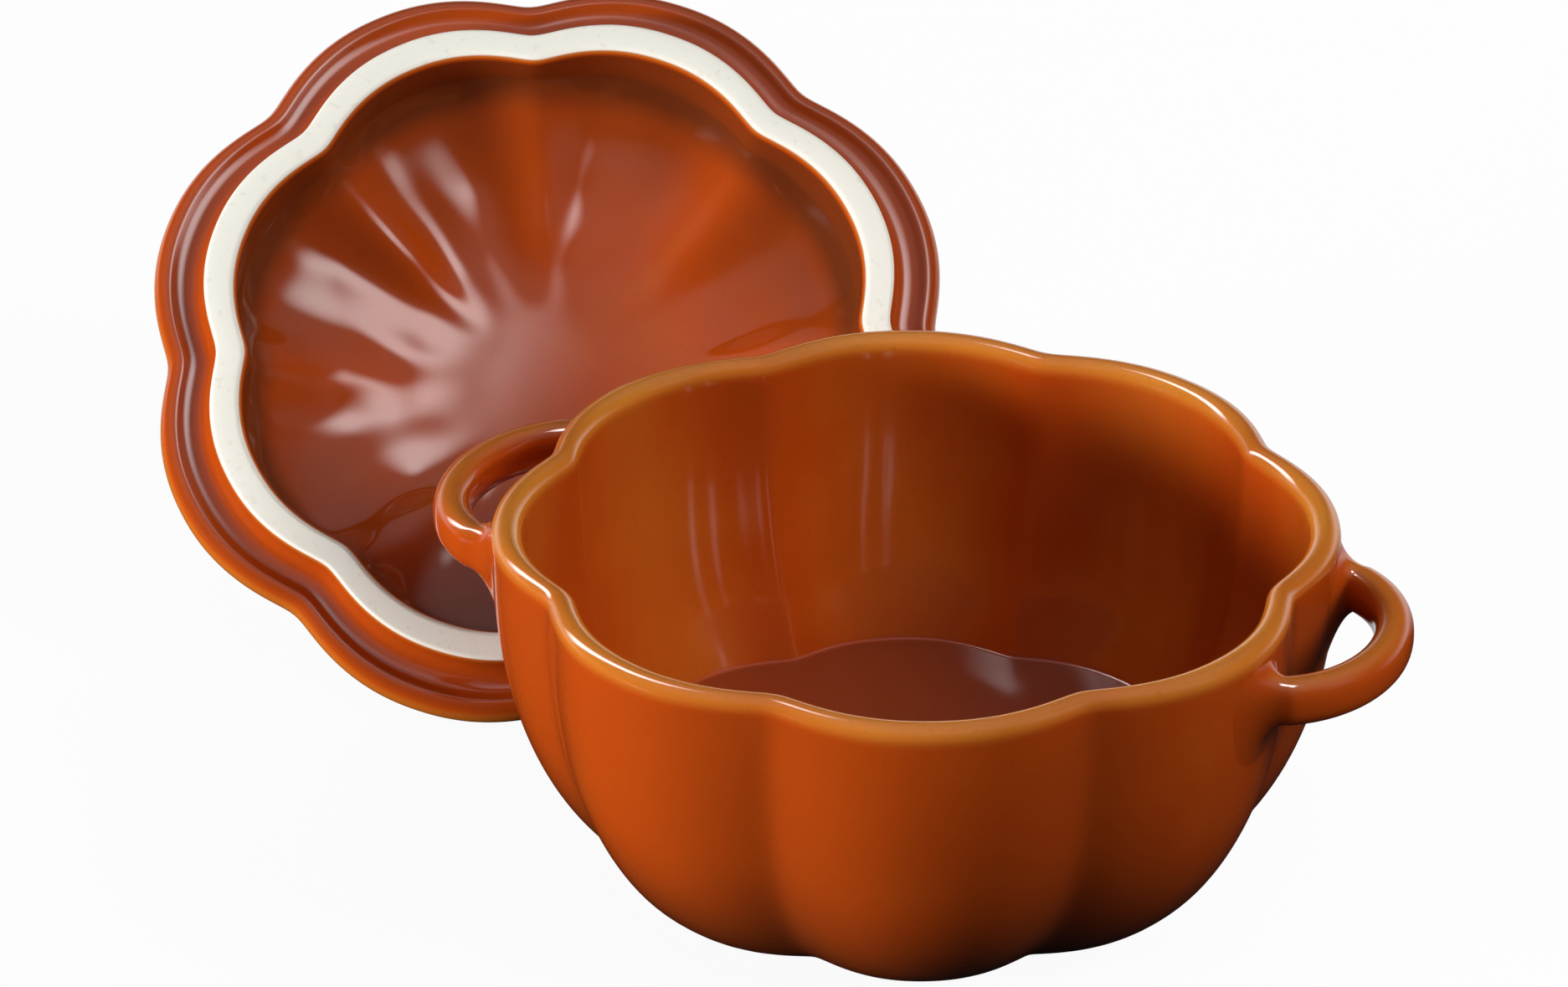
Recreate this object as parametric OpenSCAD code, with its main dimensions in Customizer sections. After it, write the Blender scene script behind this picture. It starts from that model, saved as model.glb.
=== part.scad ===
// Pumpkin cocotte: a lobed stoneware pot with two luted loop handles, and its domed lid with a stem knob.
// Millimetres. The origin is on the pot's axis at the plane it stands on, +Z up, handles along X.
// The lid is modelled in seat coordinates, with z = 0 where it sits on the lip, and then laid beside the pot.

/* [Lobes] */
// Number of lobes round the pot and the lid
lobes = 8; // [6:2:12]
// Depth of each valley between two lobes, measured in from the crest at the rim
valley_depth = 4.6; // [2:0.1:7]
// Sharpness of the valleys: higher leaves wider crests and narrower valleys
valley_power = 1.15; // [0.9:0.05:1.8]
// Rounding of the valley floor, as a share of the half lobe
valley_round = 0.14; // [0.08:0.01:0.4]

/* [Pot] */
// Height from the standing plane to the top of the lip
pot_h = 68.5; // [55:0.5:90]
// Outer radius of the rim over the lobe crests
rim_r = 75; // [60:1:100]
// Thickness of the side wall
wall = 5.5; // [4:0.5:8]
// Thickness of the floor
floor_t = 10; // [8:0.5:12]
// Radius of the flat floor inside
floor_r = 50; // [44:0.5:52]
// Outer radius where the wall rounds into the bottom
base_r = 41.5; // [36:0.5:50]
// How soon the wall turns upright: higher makes a fuller belly
belly_power = 2.3; // [2:0.1:3.5]
// Outer radius of the foot ring
foot_r = 38; // [32:1:44]
// Width of the foot ring's standing face
foot_w = 6; // [4:0.5:10]
// Height of the foot ring, which leaves a recess under the bottom
foot_h = 2; // [1:0.5:4]

/* [Handles] */
// Reach of a handle's outer edge beyond the rim's crest circle
handle_reach = 15.5; // [12:0.5:24]
// Distance between the middles of a handle's two roots
handle_span = 46; // [36:1:56]
// Thickness of the strap, seen from above
strap_t = 7; // [5:0.5:10]
// Height of the strap
strap_h = 8.5; // [7:0.5:12]
// Drop from the top of the lip to the top of the strap
handle_drop = 5.8; // [4:0.2:10]
// How far the clay of a root is smeared up the wall, above the strap
smear_above = 2.6; // [1:0.2:4]
// How far it is smeared down the wall, below the strap
smear_below = 12; // [6:0.5:16]
// How far it is smeared along the wall, away from the loop
smear_outer = 7; // [4:0.5:10]
// How far it is smeared along the wall, into the loop
smear_inner = 3.4; // [2:0.2:5]
// Thickness of the clay that is smeared on the wall
smear_t = 1.2; // [0.6:0.1:2]
// How far a root is pressed into the wall when it is luted on
root_sink = 3; // [1.5:0.1:3.5]

/* [Lid] */
// Overhang of the lid's flange beyond the rim
flange_over = 3.2; // [3:0.1:6]
// Thickness of the flange at its rounded edge
flange_t = 6; // [4:0.5:8]
// Height of the dome above the seat, at its crown
dome_h = 27; // [20:0.5:36]
// Thickness of the dome's wall
dome_t = 6.5; // [5:0.5:9]
// Depth of the grooves that run over the dome from the flange to the crown
groove_depth = 2.6; // [1:0.1:4]
// Height of the ridges under the dome, below the grooves
ridge_height = 3.2; // [1:0.1:4]
// Dip of the crown under the stem
crown_dip = 1.4; // [0:0.1:3]
// Depth of the locating ring below the seat
ring_h = 5; // [3:0.5:8]
// Width of the locating ring's bare foot
ring_w = 5.6; // [4:0.2:8]
// Running clearance between the locating ring and the inside of the rim
seat_clear = 1; // [0.6:0.1:2]
// Depth of the channel under the flange that takes the lip
channel_depth = 1; // [0.5:0.1:2]

/* [Stem] */
// Height of the stem above the crown
stem_h = 30; // [24:0.5:36]
// Sideways bend of the stem at its tip
stem_bend = 10; // [4:0.5:12]
// Radius of the stem's flared root
stem_root_r = 12; // [9:0.5:15]
// Radius of the stem's waist
stem_waist_r = 6.8; // [5:0.2:9]
// Radius of the stem's cut end
stem_tip_r = 8; // [6:0.2:10]
// Depth of the ribs along the stem
stem_rib = 0.7; // [0.2:0.1:1.2]
// How far the root is pressed into the dome when it is luted on
stem_sink = 2; // [1:0.2:3]

/* [Place of the lid] */
// Bearing of the lid from the pot's axis, in degrees from +X towards +Y
lid_bearing_angle = 145; // [130:1:160]
// Direction in which the lid's underside faces, in degrees from +X towards +Y
lid_facing_angle = -63; // [-75:1:-50]
// Level gap left between the lid's edge and the swell of the pot
lid_gap = 1.5; // [0.8:0.1:30]

/* [Hidden] */

// Burnt orange glaze
glaze = [0.62, 0.27, 0.08];

// Facets: steps along each curve, and how far they crowd towards its tight end
lobe_steps = 12;
crowd = 0.55;
wall_steps = 13;
foot_crowding = 1.8;
foot_sides = 48;
lip_steps = 6;
dome_steps = 9;
dome_crowding = 1.25;
strap_steps = 14;
strap_sides = 16;
smear_steps = 4;
wall_tries = 8;
stem_steps = 12;
stem_sides = 20;
halvings = 24;

// Strap: squareness of its section, the half turn at which it goes over into its roots,
// and how far the thin edge of a root lies below the wall
strap_square = 2.4;
strap_turn = 66;
edge_sink = 0.3;

// Dome: fullness of its two arches, and the shares of its radius where grooves, ridges and crown change
dome_fullness = 0.62;
hollow_fullness = 0.5;
hollow_stop = 0.97;
groove_start = 0.12;
groove_full = 0.6;
groove_end = 0.75;
ridge_start = 0.28;
ridge_full = 0.75;
ridge_end = 0.9;
crown_share = 0.3;
edge_round = 0.5;
ring_draft = 1.5;

// Stem: ribs round it, and the share of its height where the waist is
stem_ribs = 5;
stem_waist_at = 0.35;

// Bounds between which the lid's slope and its distance from the pot are found
steepest = 80;
farthest = 4 * rim_r;

share = valley_depth / rim_r;
lip_r = wall / 2;
lip_z = pot_h - lip_r;
floor_z = foot_h + floor_t;
flange_r = rim_r + flange_over;
edge_r = flange_t / 2;
ring_r = rim_r - wall - seat_clear;
ring_in_r = ring_r - ring_w;
dome_in_h = dome_h - crown_dip - dome_t;

// Steps across the dome, closer together towards its edge
function dome_q(i) = 1 - pow(1 - i / dome_steps, dome_crowding);

// Valley shape: 1 on a valley's floor, 0 on a lobe's crest
function soft_abs(s) =
    (sqrt(s * s + valley_round * valley_round) - valley_round)
    / (sqrt(1 + valley_round * valley_round) - valley_round);
function valley(a) = pow(max(0, 1 - soft_abs(sin(lobes / 2 * a))), valley_power);

// Angles round the piece, crowded towards the valleys
function crowded(u) = u - crowd * sin(360 * u) / (2 * PI);
ring_angles = [for (k = [0:lobes - 1], i = [0:lobe_steps - 1])
    360 / lobes * (k + crowded(i / lobe_steps))];

function mix(a, b, t) = a + (b - a) * t;
function ease(t) = let (c = min(1, max(0, t))) c * c * (3 - 2 * c);
function last(list) = list[len(list) - 1];

// One point of a section [radius, height, groove] carried round to an angle
function lobed(p, a) =
    let (v = valley(a), r = p[0] * (1 - share * v))
    [r * cos(a), r * sin(a), p[1] - p[2] * v];

// A closed solid from a section that starts and ends on the axis
module lobed_solid(section) {
    rings = len(section) - 2;
    n = len(ring_angles);
    points = concat(
        [[0, 0, section[0][1]]],
        [for (j = [1:rings], a = ring_angles) lobed(section[j], a)],
        [[0, 0, last(section)[1]]]);
    tip = len(points) - 1;
    first_fan = [for (i = [0:n - 1]) [0, 1 + i, 1 + (i + 1) % n]];
    bands = [for (j = [0:rings - 2], i = [0:n - 1], h = [0:1])
        let (a = 1 + j * n + i, b = 1 + j * n + (i + 1) % n)
        h == 0 ? [a, a + n, b] : [b, a + n, b + n]];
    last_fan = [for (i = [0:n - 1])
        [tip, 1 + (rings - 1) * n + (i + 1) % n, 1 + (rings - 1) * n + i]];
    polyhedron(points, concat(first_fan, bands, last_fan), convexity = 10);
}

// A closed solid through a list of rings with the same number of points, each end closed by a fan
function middle(ring) = [for (i = [0:2]) sum([for (p = ring) p[i]]) / len(ring)];
function sum(list) = list * [for (v = list) 1];
module swept_solid(rings) {
    n = len(rings[0]);
    m = len(rings);
    points = concat([middle(rings[0])], [for (r = rings, p = r) p], [middle(last(rings))]);
    tip = n * m + 1;
    start = [for (i = [0:n - 1]) [0, 1 + (i + 1) % n, 1 + i]];
    bands = [for (j = [0:m - 2], i = [0:n - 1], h = [0:1])
        let (a = 1 + j * n + i, b = 1 + j * n + (i + 1) % n)
        h == 0 ? [a, b, a + n] : [b, b + n, a + n]];
    end = [for (i = [0:n - 1]) [tip, tip - n + i, tip - n + (i + 1) % n]];
    polyhedron(points, concat(start, bands, end), convexity = 6);
}

// Radius of a wall that rises from base b at height z0 to rim r at height z1
function belly(b, r, z0, z1, z) =
    b + (r - b) * sqrt(max(0, 1 - pow(max(0, 1 - (z - z0) / (z1 - z0)), belly_power)));
function outer_r(z) = belly(base_r, rim_r, foot_h, lip_z, z);
function inner_r(z) = belly(floor_r, rim_r - wall, floor_z, lip_z, z);

// Heights of a wall, closer together near its foot where it curves most
function rise(z0, z1, t) = z0 + (z1 - z0) * pow(t, foot_crowding);

pot_section = concat(
    [[0, foot_h, 0]],
    [for (i = [0:wall_steps]) let (z = rise(foot_h, lip_z, i / wall_steps)) [outer_r(z), z, 0]],
    [for (i = [1:lip_steps - 1]) let (a = 180 * i / lip_steps)
        [rim_r - lip_r + lip_r * cos(a), lip_z + lip_r * sin(a), 0]],
    [for (i = [wall_steps:-1:0]) let (z = rise(floor_z, lip_z, i / wall_steps)) [inner_r(z), z, 0]],
    [[0, floor_z, 0]]);

// Foot ring under the bottom, with a flat standing face
module foot_ring() {
    rotate_extrude($fn = foot_sides)
        translate([foot_r - foot_w, 0])
            square([foot_w, foot_h + floor_t / 2]);
}

module pot() {
    color(glaze) {
        lobed_solid(pot_section);
        foot_ring();
    }
}

// Handles: a strap that bridges a valley, with two roots smeared out on the wall
root_r = rim_r - root_sink;
root_x = sqrt(root_r * root_r - handle_span * handle_span / 4);
strap_x = rim_r + handle_reach - strap_t / 2;

function rounded(s) = sign(s) * pow(abs(s), 2 / strap_square);
function strap_ring(t) =
    let (
        c = [root_x + (strap_x - root_x) * cos(t), handle_span / 2 * sin(t),
             pot_h - handle_drop - strap_h / 2],
        run = [-(strap_x - root_x) * sin(t), handle_span / 2 * cos(t)],
        side = [run[1], -run[0]] / norm(run))
    [for (k = [0:strap_sides - 1])
        let (
            a = 360 * k / strap_sides,
            u = strap_t / 2 * rounded(cos(a)),
            w = strap_h / 2 * rounded(sin(a)))
        [c[0] + side[0] * u, c[1] + side[1] * u, c[2] + w]];

// The point of the pot's outer wall at a given y and height on the side of +X, less a depth
function wall_x(y, z, x, tries) =
    let (r = outer_r(z) * (1 - share * valley(atan2(y, x))))
    tries == 0 ? x : wall_x(y, z, sqrt(max(0, r * r - y * y)), tries - 1);
function wall_point(y, z, depth) =
    let (x = wall_x(y, z, rim_r, wall_tries), r = norm([x, y]))
    [x * (r - depth) / r, y * (r - depth) / r, z];

// How far the clay is smeared, by its direction from the strap's middle
function smear(a) =
    (cos(a) > 0 ? smear_outer : smear_inner) * pow(cos(a), 2)
    + (sin(a) > 0 ? smear_above : smear_below) * pow(sin(a), 2);

// Rings that bend over from the strap's last ring into the wall, and one pressed into the clay
function root_ring(t, s) =
    let (ring = strap_ring(t), c = middle(ring))
    [for (k = [0:strap_sides - 1])
        let (
            p = ring[k],
            away = [p[1] - c[1], p[2] - c[2]],
            end = [p[1], p[2]] + away / norm(away) * smear(360 * k / strap_sides),
            corner = wall_point(p[1], p[2], -smear_t),
            foot = wall_point(end[0], end[1], edge_sink))
        s > 1 ? wall_point(end[0], end[1], root_sink)
        : p * (1 - s) * (1 - s) + corner * 2 * s * (1 - s) + foot * s * s];
root_shares = [for (i = [1:smear_steps + 1]) i / smear_steps];

module handle() {
    color(glaze)
        swept_solid(concat(
            [for (i = [smear_steps:-1:0]) root_ring(-strap_turn, root_shares[i])],
            [for (i = [0:strap_steps]) strap_ring(strap_turn * (2 * i / strap_steps - 1))],
            [for (s = root_shares) root_ring(strap_turn, s)]));
}

module right_handle() {
    handle();
}

module left_handle() {
    rotate([0, 0, 180])
        handle();
}

// Lid: dome, grooves, flange with a channel for the lip, and a locating ring with a bare foot
bead_r = flange_r - edge_r;
seat_r = rim_r - lip_r;
shoulder_z = flange_t - channel_depth;
hollow_r = ring_in_r - ring_draft;
function arch(q, fullness) = pow(max(0, 1 - q * q), fullness);
function swell(q, start, full, end) =
    ease((q - start) / (full - start)) * (1 - ease((q - end) / (1 - end)));
function groove(q) = groove_depth * swell(q, groove_start, groove_full, groove_end);
function ridge(q) = ridge_height * swell(q, ridge_start, ridge_full, ridge_end);
function crown(q) = crown_dip * (1 - ease(q / crown_share));
function dome_out(q) =
    [bead_r * q, shoulder_z + (dome_h - shoulder_z) * arch(q, dome_fullness) - crown(q), groove(q)];
function dome_in(q) =
    [hollow_r * q, dome_in_h * arch(q * hollow_stop, hollow_fullness), ridge(q)];

lid_section = concat(
    [for (i = [0:dome_steps]) dome_in(dome_q(i))],
    [[ring_in_r, edge_round - ring_h, 0]],
    [[ring_in_r + edge_round, -ring_h, 0]],
    [[ring_r - edge_round, -ring_h, 0]],
    [[ring_r, edge_round - ring_h, 0]],
    [[ring_r + seat_clear / 2, -channel_depth, 0]],
    [[(ring_r + seat_r) / 2, -channel_depth / 4, 0]],
    [[seat_r, 0, 0]],
    [[(seat_r + bead_r) / 2, -channel_depth / 3, 0]],
    [for (i = [0:lip_steps]) let (a = 180 * i / lip_steps - 90)
        [bead_r + edge_r * cos(a), edge_r - channel_depth + edge_r * sin(a), 0]],
    [for (i = [dome_steps - 1:-1:0]) dome_out(dome_q(i))]);

module lid_at_seat() {
    lobed_solid(lid_section);
}

// Stem: a ribbed, bent stalk with a flared root and a cut end
stem_z = dome_h - crown_dip - stem_sink;
function stem_radius(t) =
    t < stem_waist_at
        ? mix(stem_root_r, stem_waist_r, 1 - pow(1 - t / stem_waist_at, 2))
        : mix(stem_waist_r, stem_tip_r, pow((t - stem_waist_at) / (1 - stem_waist_at), 2));
function stem_ring(t) =
    let (
        lean = atan(2 * stem_bend * t / (stem_h + stem_sink)),
        c = [0, stem_bend * t * t, stem_z + (stem_h + stem_sink) * t])
    [for (k = [0:stem_sides - 1])
        let (
            a = -360 * k / stem_sides,
            r = stem_radius(t) + stem_rib * cos(stem_ribs * a),
            s = r * sin(a))
        [c[0] + r * cos(a), c[1] + s * cos(lean), c[2] - s * sin(lean)]];
stem_rings = [for (i = [0:stem_steps]) stem_ring(i / stem_steps)];

module stem_at_seat() {
    swept_solid(stem_rings);
}

// The lid lies on two lobes of its flange and on the tip of its stem: its slope follows from their sizes
flange_points = [for (a = ring_angles, p = lid_section) if (p[0] > ring_r) lobed(p, a)];
stem_points = last(stem_rings);
function sunk(points, slope) = max([for (p = points) p[1] * sin(slope) + p[2] * cos(slope)]);
function rest_slope(low, high, steps) =
    let (mid = (low + high) / 2)
    steps == 0 ? mid
    : sunk(flange_points, mid) > sunk(stem_points, mid) ? rest_slope(low, mid, steps - 1)
    : rest_slope(mid, high, steps - 1);
lid_slope = rest_slope(0, steepest, halvings);
lid_z = sunk(flange_points, lid_slope);

// It lies as near to the pot as the level gap between the two lets it
bearing = [cos(lid_bearing_angle), sin(lid_bearing_angle)];
lid_turn = lid_facing_angle + 90;
function laid(p) =
    let (y = p[2] * sin(lid_slope) - p[1] * cos(lid_slope))
    [p[0] * cos(lid_turn) - y * sin(lid_turn), p[0] * sin(lid_turn) + y * cos(lid_turn),
     lid_z - p[1] * sin(lid_slope) - p[2] * cos(lid_slope)];
edge_points = [for (p = flange_points) let (q = laid(p)) if (q[2] < pot_h) q];
function level_gap(away) = min([for (p = edge_points)
    let (x = p[0] + away * bearing[0], y = p[1] + away * bearing[1])
    norm([x, y]) - outer_r(p[2]) * (1 - share * valley(atan2(y, x)))]);
function nearest(low, high, steps) =
    let (mid = (low + high) / 2)
    steps == 0 ? high
    : level_gap(mid) < lid_gap ? nearest(mid, high, steps - 1)
    : nearest(low, mid, steps - 1);
lid_away = nearest(rim_r, farthest, halvings);

module lay_down() {
    translate([lid_away * bearing[0], lid_away * bearing[1], lid_z])
        rotate([0, 0, lid_turn])
            rotate([lid_slope - 180, 0, 0])
                children();
}

module lid() {
    color(glaze)
        lay_down() lid_at_seat();
}

module stem() {
    color(glaze)
        lay_down() stem_at_seat();
}

pot();
left_handle();
right_handle();
lid();
stem();
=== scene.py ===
# %% [markdown]
# # A pumpkin cocotte in burnt-orange glaze
# The real pot is stoneware: a shell of eight lobes, two loop handles stuck on with wet clay, and a domed
# lid with a bent stem. One amber glaze covers everything but the ring under the lid, which is wiped clean
# so that it doesn't stick in the kiln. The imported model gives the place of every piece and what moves.
# The script builds each piece again as a smooth mesh in the same place, and spends its effort on the
# glaze.

# %% Load the frame
import math

import bpy
import numpy as np
from mathutils import Euler, Matrix, Vector


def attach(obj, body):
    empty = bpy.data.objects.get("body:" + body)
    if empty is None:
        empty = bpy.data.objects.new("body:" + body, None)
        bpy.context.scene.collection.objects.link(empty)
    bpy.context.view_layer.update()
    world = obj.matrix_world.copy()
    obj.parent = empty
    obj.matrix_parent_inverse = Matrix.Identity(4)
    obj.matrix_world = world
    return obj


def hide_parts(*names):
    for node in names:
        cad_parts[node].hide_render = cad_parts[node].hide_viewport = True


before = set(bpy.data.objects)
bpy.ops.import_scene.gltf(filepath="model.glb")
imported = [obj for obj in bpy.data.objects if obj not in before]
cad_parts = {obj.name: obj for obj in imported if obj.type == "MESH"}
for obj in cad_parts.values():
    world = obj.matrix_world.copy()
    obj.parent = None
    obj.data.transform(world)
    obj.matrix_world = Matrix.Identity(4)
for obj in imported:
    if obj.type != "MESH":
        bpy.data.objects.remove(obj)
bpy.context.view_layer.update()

# %% [markdown]
# ## The sizes that everything follows from
# A potter would note a handful of sizes: the rim, the height, the wall, the lid's flange and its ring.
# They are the same sizes as in the construction, in metres. The lobes follow one rule: a valley is a
# soft crease whose depth is a fixed share of the radius, so pot and lid nest in each other in any turn.

# %% Driving sizes
MM = 0.001
LOBES = 8
VALLEY_SHARE = 4.6 / 75
VALLEY_POWER = 1.15
VALLEY_ROUND = 0.14

RIM_R = 75 * MM
POT_H = 68.5 * MM
WALL = 5.5 * MM
LIP_R = WALL / 2
LIP_Z = POT_H - LIP_R
FOOT_H = 2 * MM
FLOOR_Z = FOOT_H + 10 * MM
FLOOR_R = 50 * MM
BASE_R = 41.5 * MM
BELLY_POWER = 2.3


def valley(angle):
    """1 on the floor of a valley, 0 on the crest of a lobe."""
    sharp = math.sqrt(1 + VALLEY_ROUND ** 2) - VALLEY_ROUND
    swing = np.sin(LOBES / 2 * angle)
    slope = (np.sqrt(swing ** 2 + VALLEY_ROUND ** 2) - VALLEY_ROUND) / sharp
    return np.clip(1 - slope, 0, 1) ** VALLEY_POWER


def ease(t):
    t = np.clip(t, 0, 1)
    return t * t * (3 - 2 * t)


def belly(base, rim, low, z):
    """Radius of a wall that leaves the bottom level and stands upright at the lip."""
    rest = max(0.0, 1 - (z - low) / (LIP_Z - low))
    return base + (rim - base) * math.sqrt(max(0.0, 1 - rest ** BELLY_POWER))


print("valley depth at the rim: %.1f mm" % (VALLEY_SHARE * RIM_R / MM))

# %% [markdown]
# ## Helpers for turning and lobing
# Pot and lid are bodies of revolution with creases. By hand one draws half a section, spins it round the
# axis, paints a weight map of the valleys and lets a Cast modifier draw the weighted points towards the
# axis. One modifier then presses in all eight valleys, inside and outside alike. Each vertex has its own
# share of their depth, because real valleys are deeper low on the wall and fade out under the crown.

# %% Select one piece, and apply a modifier to it
def deselect_all():
    if bpy.context.object and bpy.context.object.mode != "OBJECT":
        bpy.ops.object.mode_set(mode="OBJECT")
    bpy.ops.object.select_all(action="DESELECT")


def select_only(piece):
    deselect_all()
    piece.select_set(True)
    bpy.context.view_layer.objects.active = piece


def apply_modifier(piece, modifier):
    select_only(piece)
    bpy.ops.object.modifier_apply(modifier=modifier.name)


# %% Draw a section and spin it
COLUMNS = 48 * LOBES


def draw_section(name, points):
    """A chain of vertices through (radius, height) points, drawn by extruding one vertex."""
    deselect_all()
    bpy.ops.mesh.primitive_plane_add(size=MM)
    piece = bpy.context.object
    piece.name = name
    piece.data.name = name
    bpy.ops.object.mode_set(mode="EDIT")
    bpy.ops.mesh.merge(type="CENTER")
    bpy.ops.transform.translate(value=(points[0][0], 0, points[0][1]))
    for (r0, z0), (r1, z1) in zip(points, points[1:]):
        step = (r1 - r0, 0, z1 - z0)
        bpy.ops.mesh.extrude_vertices_move(TRANSFORM_OT_translate={"value": step})
    return piece


def spin_section(piece):
    """Turns the open section round the Z axis into a closed shell."""
    bpy.ops.mesh.select_all(action="SELECT")
    bpy.ops.mesh.spin(steps=COLUMNS, angle=2 * math.pi, center=(0, 0, 0), axis=(0, 0, 1))
    bpy.ops.mesh.select_all(action="SELECT")
    bpy.ops.mesh.remove_doubles(threshold=1e-6)
    bpy.ops.mesh.normals_make_consistent(inside=False)
    bpy.ops.object.mode_set(mode="OBJECT")
    bpy.ops.object.shade_smooth()
    print(piece.name, "spun:", len(piece.data.vertices), "vertices")


def arc(r, z, radius, start, end, steps):
    """Points of a round edge, with angles in degrees from the outward direction."""
    angles = [math.radians(start + (end - start) * i / steps) for i in range(steps + 1)]
    return [(r + radius * math.cos(a), z + radius * math.sin(a)) for a in angles]


# %% Weight maps and the valleys
def places(piece):
    """Radius, angle and height of every vertex."""
    flat = np.empty(len(piece.data.vertices) * 3)
    piece.data.vertices.foreach_get("co", flat)
    x, y, z = flat.reshape(-1, 3).T
    return np.hypot(x, y), np.arctan2(y, x), z


def note(piece, name, values):
    """Keeps one number for every vertex, for a material to read."""
    layer = piece.data.attributes.new(name, "FLOAT", "POINT")
    layer.data.foreach_set("value", np.asarray(values, dtype=np.float32))


def weigh(piece, name, weights):
    group = piece.vertex_groups.new(name=name)
    for index in np.flatnonzero(weights > 0):
        group.add([int(index)], float(weights[index]), "REPLACE")


def press_valleys(piece, share):
    """Draws the wall in along every valley, by a share of the usual depth for each vertex."""
    r, angle, z = places(piece)
    note(piece, "place_r", r / MM)
    note(piece, "place_z", z / MM)
    note(piece, "place_valley", valley(angle))
    weigh(piece, "valleys", valley(angle) * share / share.max())
    cast = piece.modifiers.new("valleys", "CAST")
    cast.cast_type = "CYLINDER"
    cast.use_z = False
    cast.use_radius_as_size = False
    # A cylinder of nearly no radius, so the points are drawn towards the axis itself
    cast.size = MM / 1000
    cast.factor = VALLEY_SHARE * share.max()
    cast.vertex_group = "valleys"
    apply_modifier(piece, cast)


# %% [markdown]
# ## The pot
# A wall of even thickness swells from the floor and stands upright at a round lip. Inside, it meets a
# flat floor in a tight bend. Under it is a plain foot ring. The section starts on the axis inside, climbs
# the wall, turns over the lip and comes down outside, so the spun shell is closed and has its true
# thickness.

# %% Heights of a wall, and the wall inside
WALL_STEPS = 40
FOOT_CROWDING = 1.8
BEND_R = 0.8 * MM
BEND_Z = 20 * MM
BEND_STEPS = 4
RUN_SHARES = (0.04, 0.2, 0.5, 0.8)


def climb(low):
    """Heights from a wall's foot to the lip, closer together near the foot."""
    return [low + (LIP_Z - low) * (i / WALL_STEPS) ** FOOT_CROWDING for i in range(WALL_STEPS + 1)]


def inner_wall():
    """The belly inside, run on straight below the bend's height and rounded into the flat floor."""
    curve = [(belly(FLOOR_R, RIM_R - WALL, FLOOR_Z, z), z) for z in climb(FLOOR_Z)]
    high = [point for point in curve if point[1] > BEND_Z]
    (r0, z0), (r1, z1) = high[:2]
    lean = math.atan2(z1 - z0, r1 - r0)
    corner = r0 - (z0 - FLOOR_Z) / math.tan(lean)
    start = corner - BEND_R * math.tan(lean / 2)
    bend = arc(start, FLOOR_Z + BEND_R, BEND_R, -90, math.degrees(lean) - 90, BEND_STEPS)
    r1, z1 = bend[-1]
    straight = [(r1 + (r0 - r1) * t, z1 + (z0 - z1) * t) for t in RUN_SHARES]
    return [(start - BEND_R / 2, FLOOR_Z)] + bend + straight + high


inside = inner_wall()
print("wall inside: %d points, floor %.1f mm in radius" % (len(inside), inside[0][0] / MM))

# %% Pot
LIP_STEPS = 16
FLOOR_STEPS = 12
FOOT_R = 38 * MM
FOOT_W = 6 * MM
FOOT_EDGE = 0.8 * MM
EDGE_STEPS = 4
LOW_VALLEY = 0.4
LOW_END = 40 * MM

outside = [(belly(BASE_R, RIM_R, FOOT_H, z), z) for z in climb(FOOT_H)]
lip = arc(RIM_R - LIP_R, LIP_Z, LIP_R, 180, 0, LIP_STEPS)[1:-1]
floor_line = [(inside[0][0] * i / FLOOR_STEPS, FLOOR_Z) for i in range(FLOOR_STEPS)]
foot = (
    [(FOOT_R, FOOT_H)]
    + arc(FOOT_R - FOOT_EDGE, FOOT_EDGE, FOOT_EDGE, 0, -90, EDGE_STEPS)
    + arc(FOOT_R - FOOT_W + FOOT_EDGE, FOOT_EDGE, FOOT_EDGE, -90, -180, EDGE_STEPS)
    + [(FOOT_R - FOOT_W, FOOT_H), (0, FOOT_H)]
)
pot = draw_section("pot_shell", floor_line + inside + lip + outside[::-1] + foot)
spin_section(pot)
pot_r, _, pot_z = places(pot)
pressed = (pot_z > FOOT_H + FOOT_EDGE / 2) | (pot_r > (FOOT_R + BASE_R) / 2)
outer = pot_r > np.interp(pot_z, [z for r, z in outside], [r for r, z in outside]) - WALL / 2
low = 1 - ease((pot_z - FOOT_H) / (LOW_END - FOOT_H))
press_valleys(pot, pressed * (1 + LOW_VALLEY * low * outer))
note(pot, "place_inside", ~outer)
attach(pot, "pot")
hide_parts("pot")
print("pot:", len(pot.data.polygons), "faces")

# %% [markdown]
# ## The handles
# Each handle is a strap of clay bent into a loop over a valley, stuck to the lobes on both sides and
# smeared down with a wet finger, so it flows into the wall with no seam. Extruding a circle gives the
# loop but not that root, whose every point has to end on a curved wall. So the loop is lofted from rings
# worked out here: the strap's own rings, and at each root a fan of rings that bends over from the strap
# into the wall, wide below and narrow above.

# %% Loft through rings
def loft(name, rings):
    """A closed skin through rings of equally many points, with a flat end on each side."""
    count = len(rings[0])
    points = [point for ring in rings for point in ring]
    faces = [tuple(range(count - 1, -1, -1)), tuple(range(len(points) - count, len(points)))]
    for row in range(len(rings) - 1):
        for i in range(count):
            a = row * count + i
            b = row * count + (i + 1) % count
            faces.append((a, b, b + count, a + count))
    mesh = bpy.data.meshes.new(name)
    mesh.from_pydata(points, [], faces)
    piece = bpy.data.objects.new(name, mesh)
    bpy.context.scene.collection.objects.link(piece)
    select_only(piece)
    bpy.ops.object.mode_set(mode="EDIT")
    bpy.ops.mesh.select_all(action="SELECT")
    bpy.ops.mesh.normals_make_consistent(inside=False)
    bpy.ops.object.mode_set(mode="OBJECT")
    bpy.ops.object.shade_smooth()
    return piece


# %% A point on the pot's outer wall
WALL_ROUNDS = 8


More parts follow.
